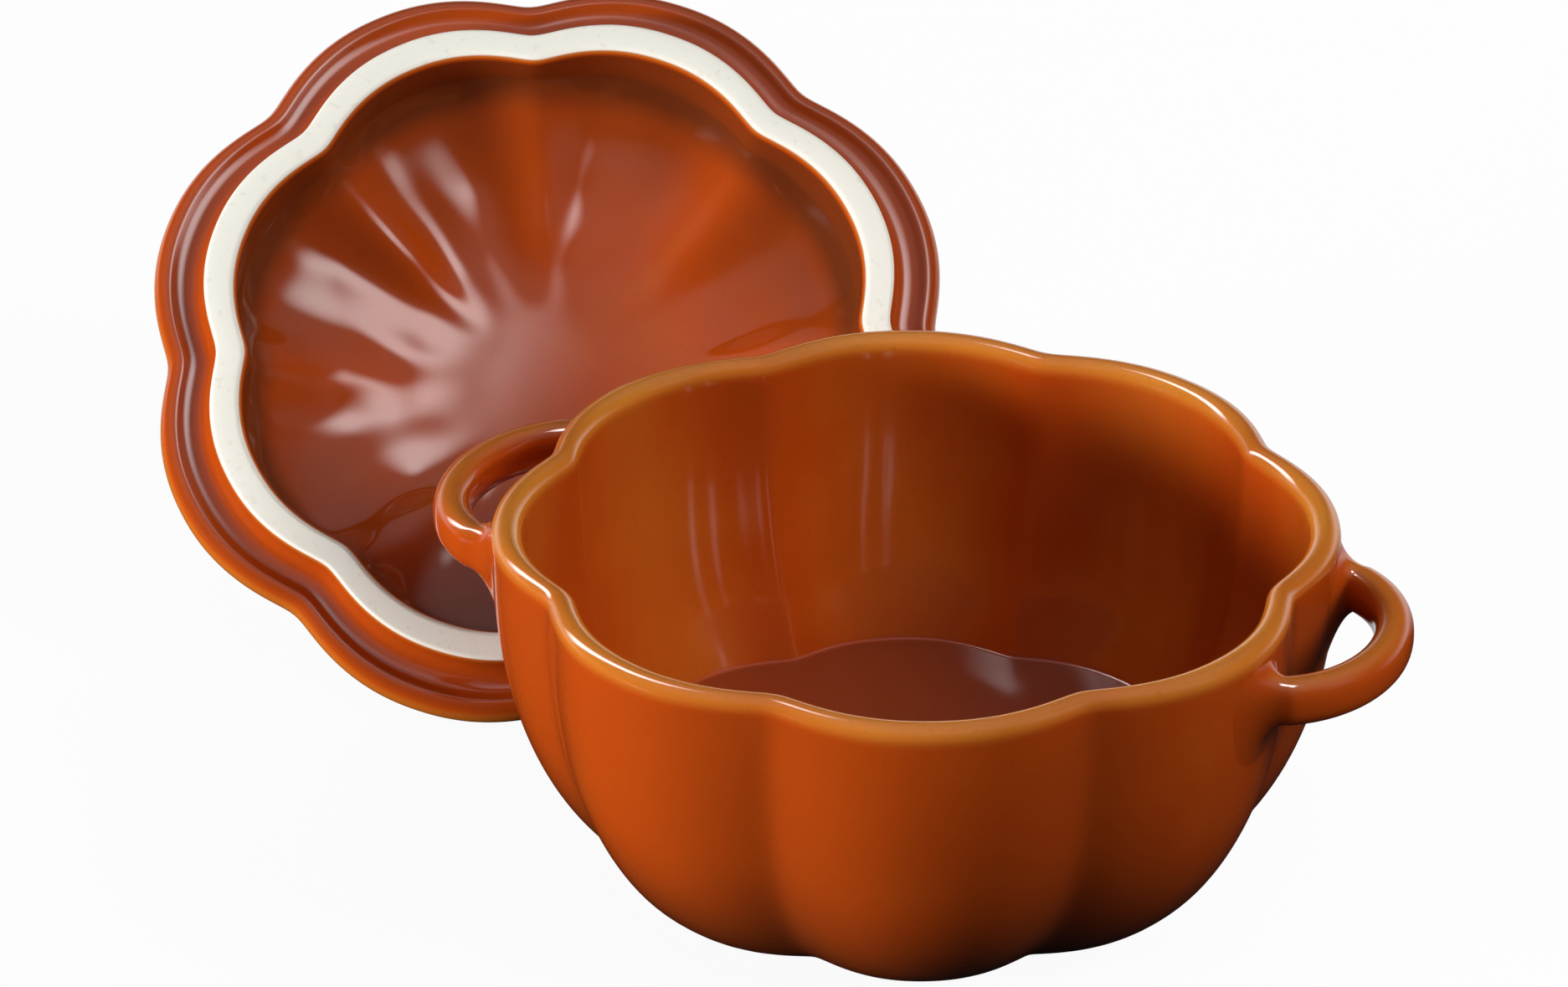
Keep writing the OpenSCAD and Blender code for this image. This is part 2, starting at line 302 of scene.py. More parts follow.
def wall_point(y, z, depth):
    """The point of the outer wall at a given y and height, on the side of +X, less a depth."""
    x = RIM_R
    for _ in range(WALL_ROUNDS):
        radius = belly(BASE_R, RIM_R, FOOT_H, z) * (1 - VALLEY_SHARE * valley(math.atan2(y, x)))
        x = math.sqrt(max(0.0, radius ** 2 - y ** 2))
    across = Vector((x, y, 0))
    return across * (1 - depth / across.length) + Vector((0, 0, z))


# %% Rings of the strap
HANDLE_REACH = 15.5 * MM
HANDLE_SPAN = 46 * MM
HANDLE_DROP = 5.8 * MM
STRAP_T = 7 * MM
STRAP_H = 8.5 * MM
STRAP_SQUARE = 2.4
STRAP_TURN = math.radians(66)
STRAP_SIDES = 48
STRAP_STEPS = 44
ROOT_SINK = 3 * MM

root_x = math.sqrt((RIM_R - ROOT_SINK) ** 2 - HANDLE_SPAN ** 2 / 4)
strap_x = RIM_R + HANDLE_REACH - STRAP_T / 2
strap_angles = [2 * math.pi * k / STRAP_SIDES for k in range(STRAP_SIDES)]


def rounded(value):
    return math.copysign(abs(value) ** (2 / STRAP_SQUARE), value)


def strap_ring(turn):
    """A ring of the strap, square to its path."""
    run = Vector((-(strap_x - root_x) * math.sin(turn), HANDLE_SPAN / 2 * math.cos(turn), 0))
    side = Vector((run.y, -run.x, 0)).normalized()
    middle = Vector((
        root_x + (strap_x - root_x) * math.cos(turn),
        HANDLE_SPAN / 2 * math.sin(turn),
        POT_H - HANDLE_DROP - STRAP_H / 2,
    ))
    ring = []
    for a in strap_angles:
        across = side * (STRAP_T / 2 * rounded(math.cos(a)))
        up = Vector((0, 0, STRAP_H / 2 * rounded(math.sin(a))))
        ring.append(middle + across + up)
    return ring


# %% Rings of a root
SMEAR_ABOVE = 2.6 * MM
SMEAR_BELOW = 12 * MM
SMEAR_OUTER = 7 * MM
SMEAR_INNER = 3.4 * MM
SMEAR_T = 1.2 * MM
SMEAR_STEPS = 14
EDGE_SINK = 0.3 * MM


def smear(a):
    """How far the clay is smeared on the wall, by its direction from the strap's middle."""
    across = SMEAR_OUTER if math.cos(a) > 0 else SMEAR_INNER
    along = SMEAR_ABOVE if math.sin(a) > 0 else SMEAR_BELOW
    return across * math.cos(a) ** 2 + along * math.sin(a) ** 2


def root_rings(turn):
    """Rings that bend over from the strap's last ring into the wall."""
    ring = strap_ring(turn)
    middle = sum(ring, Vector()) / len(ring)
    paths = []
    for start, a in zip(ring, strap_angles):
        away = Vector((0, start.y - middle.y, start.z - middle.z)).normalized()
        end = start + away * smear(a)
        corner = wall_point(start.y, start.z, -SMEAR_T)
        paths.append((start, corner, wall_point(end.y, end.z, EDGE_SINK)))
    shares = [i / SMEAR_STEPS for i in range(1, SMEAR_STEPS + 1)]
    return [[s * (1 - t) ** 2 + c * 2 * t * (1 - t) + e * t ** 2 for s, c, e in paths] for t in shares]


# %% Right handle, and the left one as its half turn
turns = [STRAP_TURN * (2 * i / STRAP_STEPS - 1) for i in range(STRAP_STEPS + 1)]
handle_rings = root_rings(-STRAP_TURN)[::-1] + [strap_ring(turn) for turn in turns] + root_rings(STRAP_TURN)
handles = []
for side, half_turns in (("right", 0), ("left", 1)):
    place = Matrix.Rotation(half_turns * math.pi, 3, "Z")
    handle = loft(side + "_loop", [[place @ point for point in ring] for ring in handle_rings])
    handles.append(handle)
    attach(handle, "pot")
    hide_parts(side + "_handle")
    print(handle.name, len(handle.data.polygons), "faces")

# %% [markdown]
# ## The lid
# The lid is drawn on its seat, with z = 0 where it rests on the lip. Its section starts under the crown,
# follows the hollow out to the locating ring, goes round the ring's bare foot, up into the channel for
# the lip, round the flange and back over the dome. Grooves run over the dome and soft, uneven folds under
# it; both fade out at the crown, so they are one weight map that a Displace modifier presses down. A
# second one, with a clouds texture, gives the hollow the ripples of clay pressed by hand.

# %% Sizes of the lid
FLANGE_R = RIM_R + 3.2 * MM
EDGE_R = 3 * MM
DOME_H = 27 * MM
DOME_T = 6.5 * MM
CROWN_DIP = 1.4 * MM
RING_H = 5 * MM
RING_W = 5.6 * MM
RING_R = RIM_R - WALL - 1 * MM
RING_IN_R = RING_R - RING_W - 1 * MM
RING_EDGE = 0.9 * MM
RING_ROUND = 1.9 * MM
CHANNEL = 1 * MM
SEAT_R = RIM_R - LIP_R
BEAD_R = FLANGE_R - EDGE_R
HOLLOW_R = RING_IN_R - 0.5 * MM
HOLLOW_H = DOME_H - CROWN_DIP - DOME_T
SHOULDER_Z = 2 * EDGE_R - CHANNEL
DOME_FULLNESS = 0.62
HOLLOW_STOP = 0.97
CROWN_SHARE = 0.3
DOME_STEPS = 48
DOME_CROWDING = 1.25
WALL_SHARES = (0.12, 0.3, 0.5, 0.7, 0.88)


def over(q):
    """Radius and height of the dome's outside at a share of its radius."""
    crown = CROWN_DIP * (1 - ease(q / CROWN_SHARE))
    return BEAD_R * q, SHOULDER_Z + (DOME_H - SHOULDER_Z) * (1 - q * q) ** DOME_FULLNESS - crown


def under(q):
    """Radius and height of the hollow at a share of its radius."""
    return HOLLOW_R * q, HOLLOW_H * math.sqrt(1 - (q * HOLLOW_STOP) ** 2)


# %% Lid on its seat
ROUND_STEPS = 10
RING_EDGE_STEPS = 6
BEAD_STEPS = 18

dome_shares = [1 - (1 - i / DOME_STEPS) ** DOME_CROWDING for i in range(DOME_STEPS + 1)]
hollow = [under(q) for q in dome_shares]
hollow_end = hollow[-1][1]
ring_low = RING_EDGE - RING_H
round_low = RING_ROUND - RING_H
ring_wall = [(HOLLOW_R + (RING_IN_R - HOLLOW_R) * t, hollow_end + (round_low - hollow_end) * t)
             for t in WALL_SHARES]
ring_foot = (
    arc(RING_IN_R + RING_ROUND, round_low, RING_ROUND, 180, 270, ROUND_STEPS)
    + arc(RING_R - RING_EDGE, ring_low, RING_EDGE, -90, 0, RING_EDGE_STEPS)
)
# The channel's two slopes: share of the way to its bottom, share of its depth
channel = [(RING_R + (SEAT_R - RING_R) * t, -CHANNEL * depth)
           for t, depth in ((0.04, 2.6), (0.13, 1.2), (0.35, 0.35), (0.64, 0.05), (1, 0))]
channel += [(SEAT_R + (BEAD_R - SEAT_R) * t, -CHANNEL * depth)
            for t, depth in ((0.3, 0.1), (0.6, 0.42), (0.85, 0.86))]
bead = arc(BEAD_R, EDGE_R - CHANNEL, EDGE_R, -90, 90, BEAD_STEPS)
dome = [over(q) for q in dome_shares][::-1][1:]
lid = draw_section("lid_shell", hollow + ring_wall + ring_foot + channel + bead + dome)
spin_section(lid)
print("lid on its seat: z %.1f to %.1f mm" % (-RING_H / MM, DOME_H / MM))

# %% How grooves and folds run
FOLD_DRIFT = 0.05
FOLD_UNEVEN = 0.14
FOLD_SHARP = 2.4


def swell(q, start, full, end):
    """0 up to start, 1 from full to end, and back to 0 at the edge."""
    return ease((q - start) / (full - start)) * (1 - ease((q - end) / (1 - end)))


def fold(angle):
    """A soft fold along each valley and a smaller one between, drawn a little unevenly."""
    drift = FOLD_DRIFT * np.sin(3 * angle + 0.6)
    uneven = 1 - FOLD_UNEVEN + FOLD_UNEVEN * np.sin(5 * angle + 2.0)
    swing = np.cos(LOBES * (angle + drift))
    return uneven * (0.5 + 0.5 * swing) ** FOLD_SHARP + (0.3 - 0.2 * uneven) * (0.5 - 0.5 * swing) ** 3


# %% Depth of the grooves over the dome and of the folds under it
GROOVE = 2.6 * MM
FOLD = 3.6 * MM
FOLD_START = 0.25
FOLD_RUN = 0.47
FOLDED_WALL = 0.7

lid_r, lid_angle, lid_z = places(lid)
q_over = np.clip(lid_r / BEAD_R, 0, 1)
q_under = np.clip(lid_r / HOLLOW_R, 0, 1)
on_dome = lid_z > over(q_over)[1] - DOME_T / 2
in_hollow = ~on_dome & (lid_z > 0) & (lid_r < HOLLOW_R)
grooves = GROOVE * swell(q_over, 0.12, 0.6, 0.75) * (on_dome & (lid_r < BEAD_R))
wall_low = hollow_end + (round_low - hollow_end) * FOLDED_WALL
on_wall = ~on_dome & (lid_r >= HOLLOW_R) & (lid_r <= RING_IN_R) & (lid_z > wall_low)
wall_share = np.clip((lid_z - wall_low) / (hollow_end - wall_low), 0, 1)
folds = FOLD * (ease((q_under - FOLD_START) / FOLD_RUN) * in_hollow + wall_share * on_wall)
depth = grooves * valley(lid_angle) + folds * fold(lid_angle)
print("grooves and folds up to %.1f mm" % (depth.max() / MM))

# %% Press valleys, grooves, folds and ripples into the lid
RIPPLE = 2.0 * MM
RIPPLE_SIZE = 15 * MM
VALLEY_START = 0.35
VALLEY_RUN = 0.6

weigh(lid, "grooves", depth / FOLD)
weigh(lid, "hollow", swell(q_under, 0.1, 0.6, 0.92) * in_hollow)
press_valleys(lid, np.where(in_hollow, ease((q_under - VALLEY_START) / VALLEY_RUN), 1.0))
press = lid.modifiers.new("press", "DISPLACE")
press.direction = "Z"
press.mid_level = 0
press.strength = -FOLD
press.vertex_group = "grooves"
apply_modifier(lid, press)
ripples = bpy.data.textures.new("ripples", "CLOUDS")
ripples.noise_scale = RIPPLE_SIZE
ripples.noise_depth = 0
ripple = lid.modifiers.new("ripple", "DISPLACE")
ripple.texture = ripples
ripple.direction = "Z"
ripple.strength = RIPPLE
ripple.vertex_group = "hollow"
apply_modifier(lid, ripple)
note(lid, "place_hollow", in_hollow)
note(lid, "place_under", ~on_dome)
print("lid:", len(lid.data.polygons), "faces")

# %% [markdown]
# ## The stem
# The knob is a pumpkin's cut stem: five soft ribs, a flared root, a waist, a bend and a cut end that
# dips in the middle. Its rings lean with the bend and carry the ribs, so it is lofted too.

# %% Rings of the stem
STEM_H = 30 * MM
STEM_SINK = 2 * MM
STEM_BEND = 10 * MM
STEM_ROOT_R = 12 * MM
STEM_WAIST_R = 6.8 * MM
STEM_TIP_R = 8 * MM
STEM_RIB = 0.9 * MM
STEM_RIBS = 5
STEM_SIDES = 80
STEM_STEPS = 40
STEM_WAIST_AT = 0.35
STEM_Z = DOME_H - CROWN_DIP - STEM_SINK
stem_angles = [2 * math.pi * k / STEM_SIDES for k in range(STEM_SIDES)]


def stem_radius(t):
    if t < STEM_WAIST_AT:
        return STEM_WAIST_R + (STEM_ROOT_R - STEM_WAIST_R) * (1 - t / STEM_WAIST_AT) ** 2
    return STEM_WAIST_R + (STEM_TIP_R - STEM_WAIST_R) * ((t - STEM_WAIST_AT) / (1 - STEM_WAIST_AT)) ** 2


def stem_ring(t, inset=0.0, sink=0.0):
    """A ring of the stem at a share of its height, drawn in and sunk for the cut end."""
    lean = math.atan(2 * STEM_BEND * t / (STEM_H + STEM_SINK))
    middle = Vector((0, STEM_BEND * t * t, STEM_Z + (STEM_H + STEM_SINK) * t))
    tilt = Matrix.Rotation(-lean, 3, "X")
    ring = []
    for a in stem_angles:
        r = stem_radius(t) + STEM_RIB * math.cos(STEM_RIBS * a) - inset
        ring.append(middle + tilt @ Vector((r * math.cos(a), r * math.sin(a), -sink)))
    return ring


# %% Stem with its cut end
TIP_EDGE = 1.2 * MM
TIP_TURNS = (0.3, 0.7, 1.1, math.pi / 2)
# Rings of the dip: how far they are drawn in and sunk, in millimetres
TIP_DIP = ((2.4, 0.3), (4.2, 0.9), (6.2, 1.2))

stem_rings = [stem_ring(i / STEM_STEPS) for i in range(STEM_STEPS)]
stem_rings += [stem_ring(1, TIP_EDGE * (1 - math.cos(a)), TIP_EDGE * (1 - math.sin(a))) for a in TIP_TURNS]
stem_rings += [stem_ring(1, inset * MM, sink * MM) for inset, sink in TIP_DIP]
stem = loft("stem_knob", stem_rings)
print("stem:", len(stem.data.polygons), "faces")

# %% [markdown]
# ## Laying the lid down
# In the photo the lid is off the pot. It lies upturned behind it, on two lobes of its flange and on the
# stem. The CAD nodes say where: their lid leans by the slope at which flange and stem both touch the
# table. The two meshes get the same turn and place, applied to their vertices.

# %% Lay the lid and its stem behind the pot
LID_SLOPE = math.radians(38.4131)
LID_TURN = math.radians(27)
LID_AWAY = 121.585 * MM
LID_BEARING = math.radians(145)
LID_Z = 50.7022 * MM

lid_place = Vector((LID_AWAY * math.cos(LID_BEARING), LID_AWAY * math.sin(LID_BEARING), LID_Z))
lid_turn = Euler((LID_SLOPE - math.pi, 0, LID_TURN), "XYZ")
for piece, node in ((lid, "lid"), (stem, "stem")):
    select_only(piece)
    piece.rotation_euler = lid_turn
    piece.location = lid_place
    bpy.ops.object.transform_apply(location=True, rotation=True, scale=True)
    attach(piece, "lid")
    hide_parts(node)
    lowest = places(piece)[2].min()

# %% [markdown]
# ## Maths for the glaze
# A glaze is a few numbers that change over the surface. Writing them as Python expressions keeps the
# recipe readable: this class wraps a socket, and arithmetic on it adds Math nodes.

# %% A socket with arithmetic
class Wire:
    """One output socket of a node tree; arithmetic on it adds Math nodes."""

    def __init__(self, socket):
        self.socket = socket

    @staticmethod
    def node(tree, kind, settings=None, inputs=None, output=0):
        """Adds a node with its settings and inputs, and gives one of its outputs."""
        made = tree.nodes.new(kind)
        for name, value in (settings or {}).items():
            setattr(made, name, value)
        for name, value in (inputs or {}).items():
            if isinstance(value, Wire):
                tree.links.new(value.socket, made.inputs[name])
            else:
                made.inputs[name].default_value = value
        return Wire(made.outputs[output])

    def math(self, operation, *values):
        operands = dict(enumerate(values))
        return Wire.node(self.socket.id_data, "ShaderNodeMath", {"operation": operation}, operands)

    def __add__(self, other):
        return self.math("ADD", self, other)

    def __sub__(self, other):
        return self.math("SUBTRACT", self, other)

    def __rsub__(self, other):
        return self.math("SUBTRACT", other, self)

    def __mul__(self, other):
        return self.math("MULTIPLY", self, other)

    __radd__ = __add__

    def fade(self, low, high):
        """0 below low, 1 above high and smooth between them."""
        settings = {"interpolation_type": "SMOOTHSTEP"}
        inputs = {"Value": self, "From Min": low, "From Max": high}
        return Wire.node(self.socket.id_data, "ShaderNodeMapRange", settings, inputs)

    def clamp(self):
        return self.math("MINIMUM", self.math("MAXIMUM", self, 0.0), 1.0)


# %% Short names for the nodes in use
def mix(tree, factor, first, second):
    inputs = {0: factor, 6: first, 7: second}
    return Wire.node(tree, "ShaderNodeMix", {"data_type": "RGBA"}, inputs, output=2)


def noise(tree, scale, detail=2.0):
    place = Wire.node(tree, "ShaderNodeTexCoord", output="Object")
    return Wire.node(tree, "ShaderNodeTexNoise", inputs={"Vector": place, "Scale": scale, "Detail": detail})


def attribute(tree, name):
    return Wire.node(tree, "ShaderNodeAttribute", {"attribute_name": name}, output="Fac")


def start_material(name):
    material = bpy.data.materials.new(name)
    material.use_nodes = True
    tree = material.node_tree
    return material, tree, tree.nodes["Principled BSDF"]


# %% [markdown]
# ## The glaze
# Amber glaze is coloured glass over pale clay. Where it runs thin, on the lip and other edges, the clay
# shines through and it turns yellow; where it pools, in valleys and corners, it goes deep red-brown. So
# the colour is one mix from deep to thin, driven by how thick the glaze is, with a slow mottle and fine
# specks. The deep end of the mix also carries painted shade: low on the pot, on its floor inside, in the
# lid's corner by the ring and over the outer hollow. The surface is glass: smooth, with a faint waviness
# that softens the reflections.

# %% Glaze and bare clay
DEEP = (0.140, 0.027, 0.006, 1)
BODY = (0.430, 0.057, 0.004, 1)
THIN = (0.680, 0.270, 0.030, 1)
CLAY = (0.900, 0.885, 0.800, 1)
CLAY_SPECK = (0.50, 0.44, 0.33, 1)
MOTTLE_SCALE = 30
MOTTLE = 0.20
SPECK_SCALE = 900
SPECK = 0.10
GLOSS = 0.07
GLOSS_SCALE = 120
GLOSS_SPREAD = 0.08
WORN = 0.3
WAVE_SCALE = 45
GRAIN_SCALE = 2600
GRAIN = 0.12
DOT_SCALE = 620
DOTS = 0.15
CLAY_ROUGHNESS = 0.75
CLAY_RELIEF = 0.3
RELIEF = 0.5 * MM
RELIEF_STRENGTH = 0.15


def glaze(name, thin_and_shade_of, bare_of=None, dull_of=None):
    """Glaze for one piece: its level is 0 for pools of glaze and painted shade, 0.5 for even and 1 for thin
    glaze.
    """
    material, tree, shader = start_material(name)
    shader.inputs["IOR"].default_value = 1.5
    shader.inputs["Coat Weight"].default_value = 0.3
    shader.inputs["Coat Roughness"].default_value = 0.03
    slow = noise(tree, MOTTLE_SCALE, 3.0) - 0.5
    specks = noise(tree, SPECK_SCALE, 1.0).fade(0.62, 0.74)
    level = (thin_and_shade_of(tree) + slow * MOTTLE).clamp()
    colour = mix(tree, (level * 2).clamp(), DEEP, BODY)
    colour = mix(tree, (level * 2 - 1).clamp(), colour, THIN)
    colour = mix(tree, specks * SPECK, colour, DEEP)
    roughness = GLOSS + noise(tree, GLOSS_SCALE) * GLOSS_SPREAD
    if dull_of:
        roughness = roughness + dull_of(tree) * WORN
    height = noise(tree, WAVE_SCALE, 1.0)
    if bare_of:
        bare = bare_of(tree)
        grain = noise(tree, GRAIN_SCALE)
        dots = noise(tree, DOT_SCALE, 0.5).fade(0.66, 0.76)
        clay = mix(tree, dots * DOTS, CLAY, CLAY_SPECK)
        clay = mix(tree, grain * GRAIN, clay, CLAY_SPECK)
        colour = mix(tree, bare, colour, clay)
        roughness = roughness * (1 - bare) + bare * CLAY_ROUGHNESS
        height = height * (1 - bare) + grain * bare * CLAY_RELIEF
    inputs = {"Strength": RELIEF_STRENGTH, "Distance": RELIEF, "Height": height}
    bump = Wire.node(tree, "ShaderNodeBump", inputs=inputs)
    for socket, wire in (("Base Color", colour), ("Roughness", roughness), ("Normal", bump)):
        tree.links.new(wire.socket, shader.inputs[socket])
    return material


# %% Where the glaze is thin on the pot, and where shade is painted
EVEN = 0.5
INSIDE_THIN = 0.06
LIP_THIN = 0.26
CREASE_POOL = 0.08
BOTTOM_POOL_AND_SHADE = 0.46
FLOOR_POOL_AND_SHADE = 0.32


def pot_floor(tree):
    """1 on the flat floor inside, where the glaze pools, painted shade darkens it and spoons have taken off
    some gloss.
    """
    z = attribute(tree, "place_z")
    r = attribute(tree, "place_r")
    above = z.fade(FLOOR_Z / MM - 1, FLOOR_Z / MM - 0.5)
    below = 1 - z.fade(FLOOR_Z / MM + 0.2, FLOOR_Z / MM + 1.5)
    return above * below * (1 - r.fade(FLOOR_R / MM + 5, FLOOR_R / MM + 7))


def pot_thin_and_shade(tree):
    z = attribute(tree, "place_z")
    within = attribute(tree, "place_inside")
    floor = pot_floor(tree)
    crease = attribute(tree, "place_valley") * (1 - floor)
    lip_edge = z.fade(POT_H / MM - 4.0, POT_H / MM - 0.8)
    # Painted shade, together with glaze that pools: darker low on the outer wall and on the flat floor
    # inside
    darkened = (1 - z.fade(0, 36)) * (1 - within) * BOTTOM_POOL_AND_SHADE + floor * FLOOR_POOL_AND_SHADE
    return EVEN + within * INSIDE_THIN + lip_edge * LIP_THIN - crease * CREASE_POOL - darkened


# %% Where the glaze is thin on the lid, where shade is painted, and where the clay is bare
LID_EVEN = 0.46
HOLLOW_THIN = 0.04
FOLD_THIN_AND_SHEEN = 0.16
HOLLOW_DARK_REFLECTION = 0.22
CHANNEL_DARKER = 0.10
CORNER_SHADE = 0.40
FOOT_THIN = 0.22
BEAD_THIN = 0.24


def lid_thin_and_shade(tree):
    r = attribute(tree, "place_r")
    z = attribute(tree, "place_z")
    crease = attribute(tree, "place_valley")
    hollow = attribute(tree, "place_hollow")
    # Painted shade in the corner where the hollow meets the ring wall, kept off the bare foot
    corner = r.fade(HOLLOW_R / MM - 7, HOLLOW_R / MM) * (1 - r.fade(RING_IN_R / MM, RING_R / MM))
    corner = corner * attribute(tree, "place_under")
    foot_edge = (0 - z).fade(RING_H / MM - 1.8, RING_H / MM - 0.5)
    bead_edge = r.fade(FLANGE_R / MM - 1.6, FLANGE_R / MM)
    # Painted dark reflections darken the outer hollow between the folds
    darkened = hollow * r.fade(24, HOLLOW_R / MM - 6)
    # Darker in the channel under the flange
    flange = r.fade(RING_R / MM, SEAT_R / MM) * (1 - z.fade(-1, 3))
    # The fold crests are lighter: thin glaze, and partly a painted highlight
    thin = hollow * HOLLOW_THIN + crease * hollow * r.fade(20, 50) * FOLD_THIN_AND_SHEEN
    even = LID_EVEN + thin - darkened * HOLLOW_DARK_REFLECTION - flange * CHANNEL_DARKER
    return even - corner * (1 - foot_edge) * CORNER_SHADE + foot_edge * FOOT_THIN + bead_edge * BEAD_THIN


def lid_bare(tree):
    z = attribute(tree, "place_z")
    return (0 - z).fade(RING_H / MM - 0.55, RING_H / MM - 0.25)


# %% Where the glaze is thin on the straps and the stem
STRAP_EVEN = 0.47
STRAP_FREE_THIN = 0.03
STRAP_TOP_THIN = 0.20
STEM_EVEN = 0.48
RIB_THIN = 0.2


def noted_thin(tree):
    return attribute(tree, "place_thin")


for handle in handles:
    rows = np.repeat(np.arange(len(handle_rings)), STRAP_SIDES)
    free = ease(np.minimum(rows, rows[::-1]) / SMEAR_STEPS)
    upper = np.clip(np.sin(np.resize(strap_angles, len(rows))), 0, 1)
    note(handle, "place_thin", STRAP_EVEN + free * (STRAP_FREE_THIN + STRAP_TOP_THIN * upper ** 4))
ribs = np.cos(STEM_RIBS * np.resize(stem_angles, len(stem.data.vertices)))
note(stem, "place_thin", STEM_EVEN + RIB_THIN * ribs)
print("noted on:", [piece.name for piece in handles + [stem]])

# %% Glaze every piece
pot.data.materials.append(glaze("pot_glaze", pot_thin_and_shade, dull_of=pot_floor))
lid.data.materials.append(glaze("lid_glaze", lid_thin_and_shade, lid_bare))
noted_glaze = glaze("handle_glaze", noted_thin)
for piece in handles + [stem]:
    piece.data.materials.append(noted_glaze)
print("glazed:", [piece.name for piece in [pot, lid, stem] + handles])

# %% [markdown]
# ## The studio
# The photo is a catalogue picture on white. A glossy pot shows its surroundings, so the studio is mostly
# a matter of what it mirrors: a white sweep behind and a tall soft box on the left, which draw the bright
# lines on the lip, high soft boxes, which lie as a pale sheen in the lid and on the straps, and a dark
# table in front, which keeps the walls deep in colour. A photographer keeps a lamp off a piece with black
# cards; light linking does that here. The light itself comes low from the front left, with fills from the
# right, from above and from behind. The floor is white to the camera and still takes the pot's shadow.

# %% Floor
BACK = Vector((-0.366, 0.931, 0))
FLOOR_SIZE = 8
FLOOR_PAINT = (0.012, 0.012, 0.012, 1)
FLOOR_PALE = (0.9, 0.9, 0.9, 1)
WHITE = (1, 1, 1, 1)
FLOOR_SEEN = 0.94
FLOOR_MIRRORED = 0.7


def light_path(tree, name):
    return Wire.node(tree, "ShaderNodeLightPath", output=name)


def along_back(tree, place):
    """How far a point or a direction lies towards the back of the studio."""
    settings = {"operation": "DOT_PRODUCT"}
    return Wire.node(tree, "ShaderNodeVectorMath", settings, {0: place, 1: BACK}, output="Value")


def white_floor():
    deselect_all()
    bpy.ops.mesh.primitive_plane_add(size=FLOOR_SIZE)
    floor = bpy.context.object
    floor.name = "studio_floor"
    material, tree, shader = start_material("studio_floor")
    tree.nodes.remove(shader)
    place = Wire.node(tree, "ShaderNodeTexCoord", output="Object")
    bearing = Wire.node(tree, "ShaderNodeVectorMath", {"operation": "NORMALIZE"}, {0: place})
    behind = along_back(tree, place).fade(0.0, 0.07) * along_back(tree, bearing).fade(0.5, 0.85)
    seen = light_path(tree, "Is Camera Ray")
    glow = seen * FLOOR_SEEN + light_path(tree, "Is Glossy Ray") * behind * FLOOR_MIRRORED
    colour = mix(tree, seen, FLOOR_PAINT, FLOOR_PALE)
    paint = Wire.node(tree, "ShaderNodeBsdfDiffuse", inputs={"Color": colour})
    white = Wire.node(tree, "ShaderNodeEmission", inputs={"Color": WHITE, "Strength": 1.0})
    joined = Wire.node(tree, "ShaderNodeMixShader", inputs={0: glow, 1: paint, 2: white})
    tree.links.new(joined.socket, tree.nodes["Material Output"].inputs["Surface"])
    floor.data.materials.append(material)


white_floor()
print("floor: white to the camera, and to the glaze only behind the pot")

# %% Backdrop
FRONT_GLOW = 0.03
SWEEP_GLOW = 0.95
CEILING_GLOW = 0.4
AROUND = 0.12

scene = bpy.context.scene
scene.view_settings.view_transform = "Standard"
world = bpy.data.worlds.new("studio")
scene.world = world
world.use_nodes = True
backdrop = world.node_tree.nodes["Background"]
direction = Wire.node(world.node_tree, "ShaderNodeTexCoord", output="Generated")
height = Wire.node(world.node_tree, "ShaderNodeSeparateXYZ", inputs={0: direction}, output="Z")
sweep = along_back(world.node_tree, direction).fade(0.0, 0.7) * (1 - height.fade(0.12, 0.42))
glow = FRONT_GLOW + sweep * SWEEP_GLOW + height.fade(0.5, 0.95) * CEILING_GLOW
seen = light_path(world.node_tree, "Is Camera Ray")
mirrored = light_path(world.node_tree, "Is Glossy Ray")
strength = seen + mirrored * glow + (1 - seen - mirrored) * AROUND
world.node_tree.links.new(strength.socket, backdrop.inputs["Strength"])
backdrop.inputs["Color"].default_value = WHITE
print("backdrop: white to the camera, a bright sweep to the glaze")

# %% A lamp behind a soft box
CENTRE = Vector((-0.02, 0, 0.05))


def edge_fade(tree, axis):
    """1 in the middle of a lamp, 0 at its edges along one axis."""
    spot = Wire.node(tree, "ShaderNodeNewGeometry", output="Parametric")
    across = Wire.node(tree, "ShaderNodeSeparateXYZ", inputs={0: spot}, output=axis)
    return across.fade(0, 0.4) * (1 - across.fade(0.6, 1))


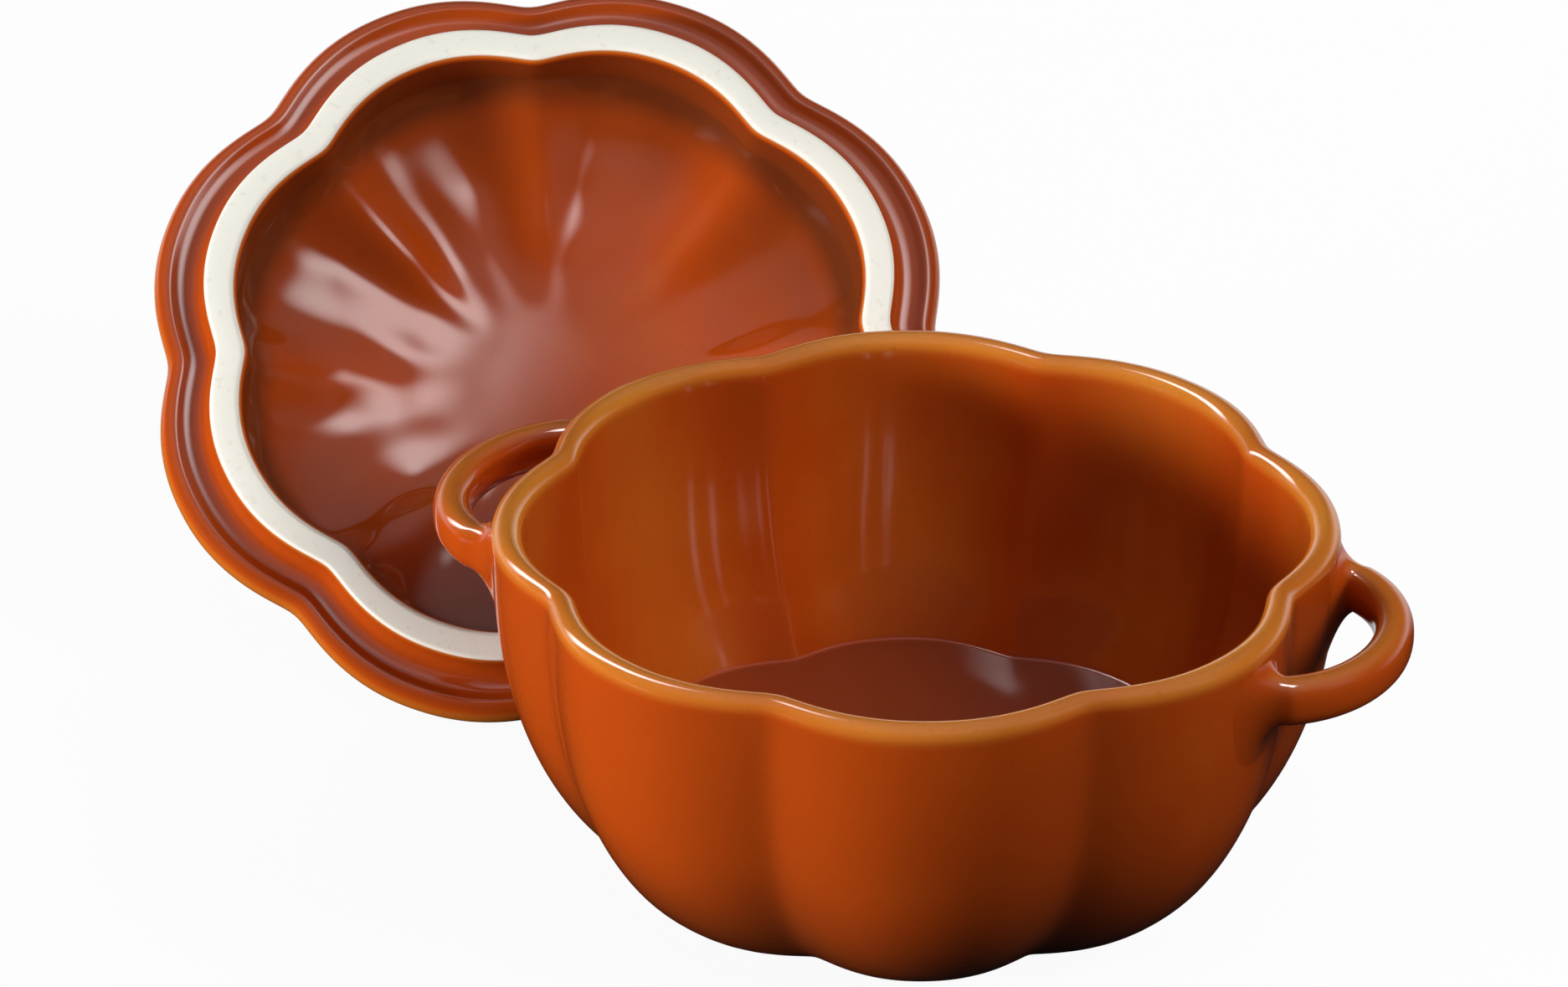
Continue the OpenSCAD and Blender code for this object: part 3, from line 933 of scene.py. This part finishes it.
def soft_box(name, bearing, elevation, away, width, height, radiance, lights=True, mirrors=()):
    """A rectangular lamp that fades to its edges; radiance is what its middle shows.

    It lights everything, or else only lies as a sheen on the pieces in mirrors."""
    lamp = bpy.data.lights.new(name, "AREA")
    lamp.shape = "RECTANGLE"
    lamp.size = width
    lamp.size_y = height
    lamp.energy = math.pi * width * height * radiance
    lamp.use_nodes = True
    tree = lamp.node_tree
    shape = edge_fade(tree, "X") * edge_fade(tree, "Y")
    tree.links.new(shape.socket, tree.nodes["Emission"].inputs["Strength"])
    holder = bpy.data.objects.new(name, lamp)
    flat = away * math.cos(math.radians(elevation))
    turn = math.radians(bearing)
    up = away * math.sin(math.radians(elevation))
    holder.location = CENTRE + Vector((flat * math.cos(turn), flat * math.sin(turn), up))
    holder.rotation_euler = (CENTRE - holder.location).to_track_quat("-Z", "Y").to_euler()
    holder.visible_camera = False
    holder.visible_diffuse = lights
    holder.visible_glossy = not lights
    scene.collection.objects.link(holder)
    if mirrors:
        group = bpy.data.collections.new(name)
        for piece in mirrors:
            group.objects.link(piece)
        holder.light_linking.receiver_collection = group
    print(name, "at %.2f, %.2f, %.2f m" % tuple(holder.location))


# %% The lamps in use
# Name, bearing and elevation in degrees, distance, width and height in metres, radiance
soft_box("key", -140, 5, 1.2, 0.8, 0.3, 78)
soft_box("right_fill", 0, 34, 1.2, 0.8, 0.8, 13)
soft_box("overhead", -60, 65, 1.2, 1.0, 1.0, 1.5)
soft_box("back_fill", 105, 12, 1.4, 1.3, 0.5, 16)
soft_box("lid_sheen", -10, 61, 1.2, 0.9, 1.15, 5.6, lights=False, mirrors=[lid])
soft_box("lip_sheen", 170, 44, 1.2, 0.4, 1.5, 18, lights=False, mirrors=[pot] + handles)
soft_box("strap_sheen", 0, 84, 1.2, 0.5, 0.5, 22, lights=False, mirrors=handles)

# %% [markdown]
# ## The camera
# Direction, distance and lens were worked out from the ellipse of the rim in the photo.

# %% Camera
IMAGE_W = 1873
FOCAL_PX = 8145.6
VIEW_AZIMUTH = math.radians(21.47)
VIEW_ELEVATION = math.radians(28.24)
VIEW_DISTANCE = 1.2
LOOK_AT = Vector((-0.02166, -0.00852, 0.07322))

camera_data = bpy.data.cameras.new("camera")
camera_data.sensor_fit = "HORIZONTAL"
camera_data.sensor_width = 36
camera_data.lens = FOCAL_PX * camera_data.sensor_width / IMAGE_W
camera = bpy.data.objects.new("camera", camera_data)
towards = Vector((
    math.sin(VIEW_AZIMUTH) * math.cos(VIEW_ELEVATION),
    -math.cos(VIEW_AZIMUTH) * math.cos(VIEW_ELEVATION),
    math.sin(VIEW_ELEVATION),
))
camera.location = LOOK_AT + towards * VIEW_DISTANCE
camera.rotation_euler = (-towards).to_track_quat("-Z", "Y").to_euler()
scene.collection.objects.link(camera)
scene.camera = camera
print("lens %.1f mm" % camera_data.lens)
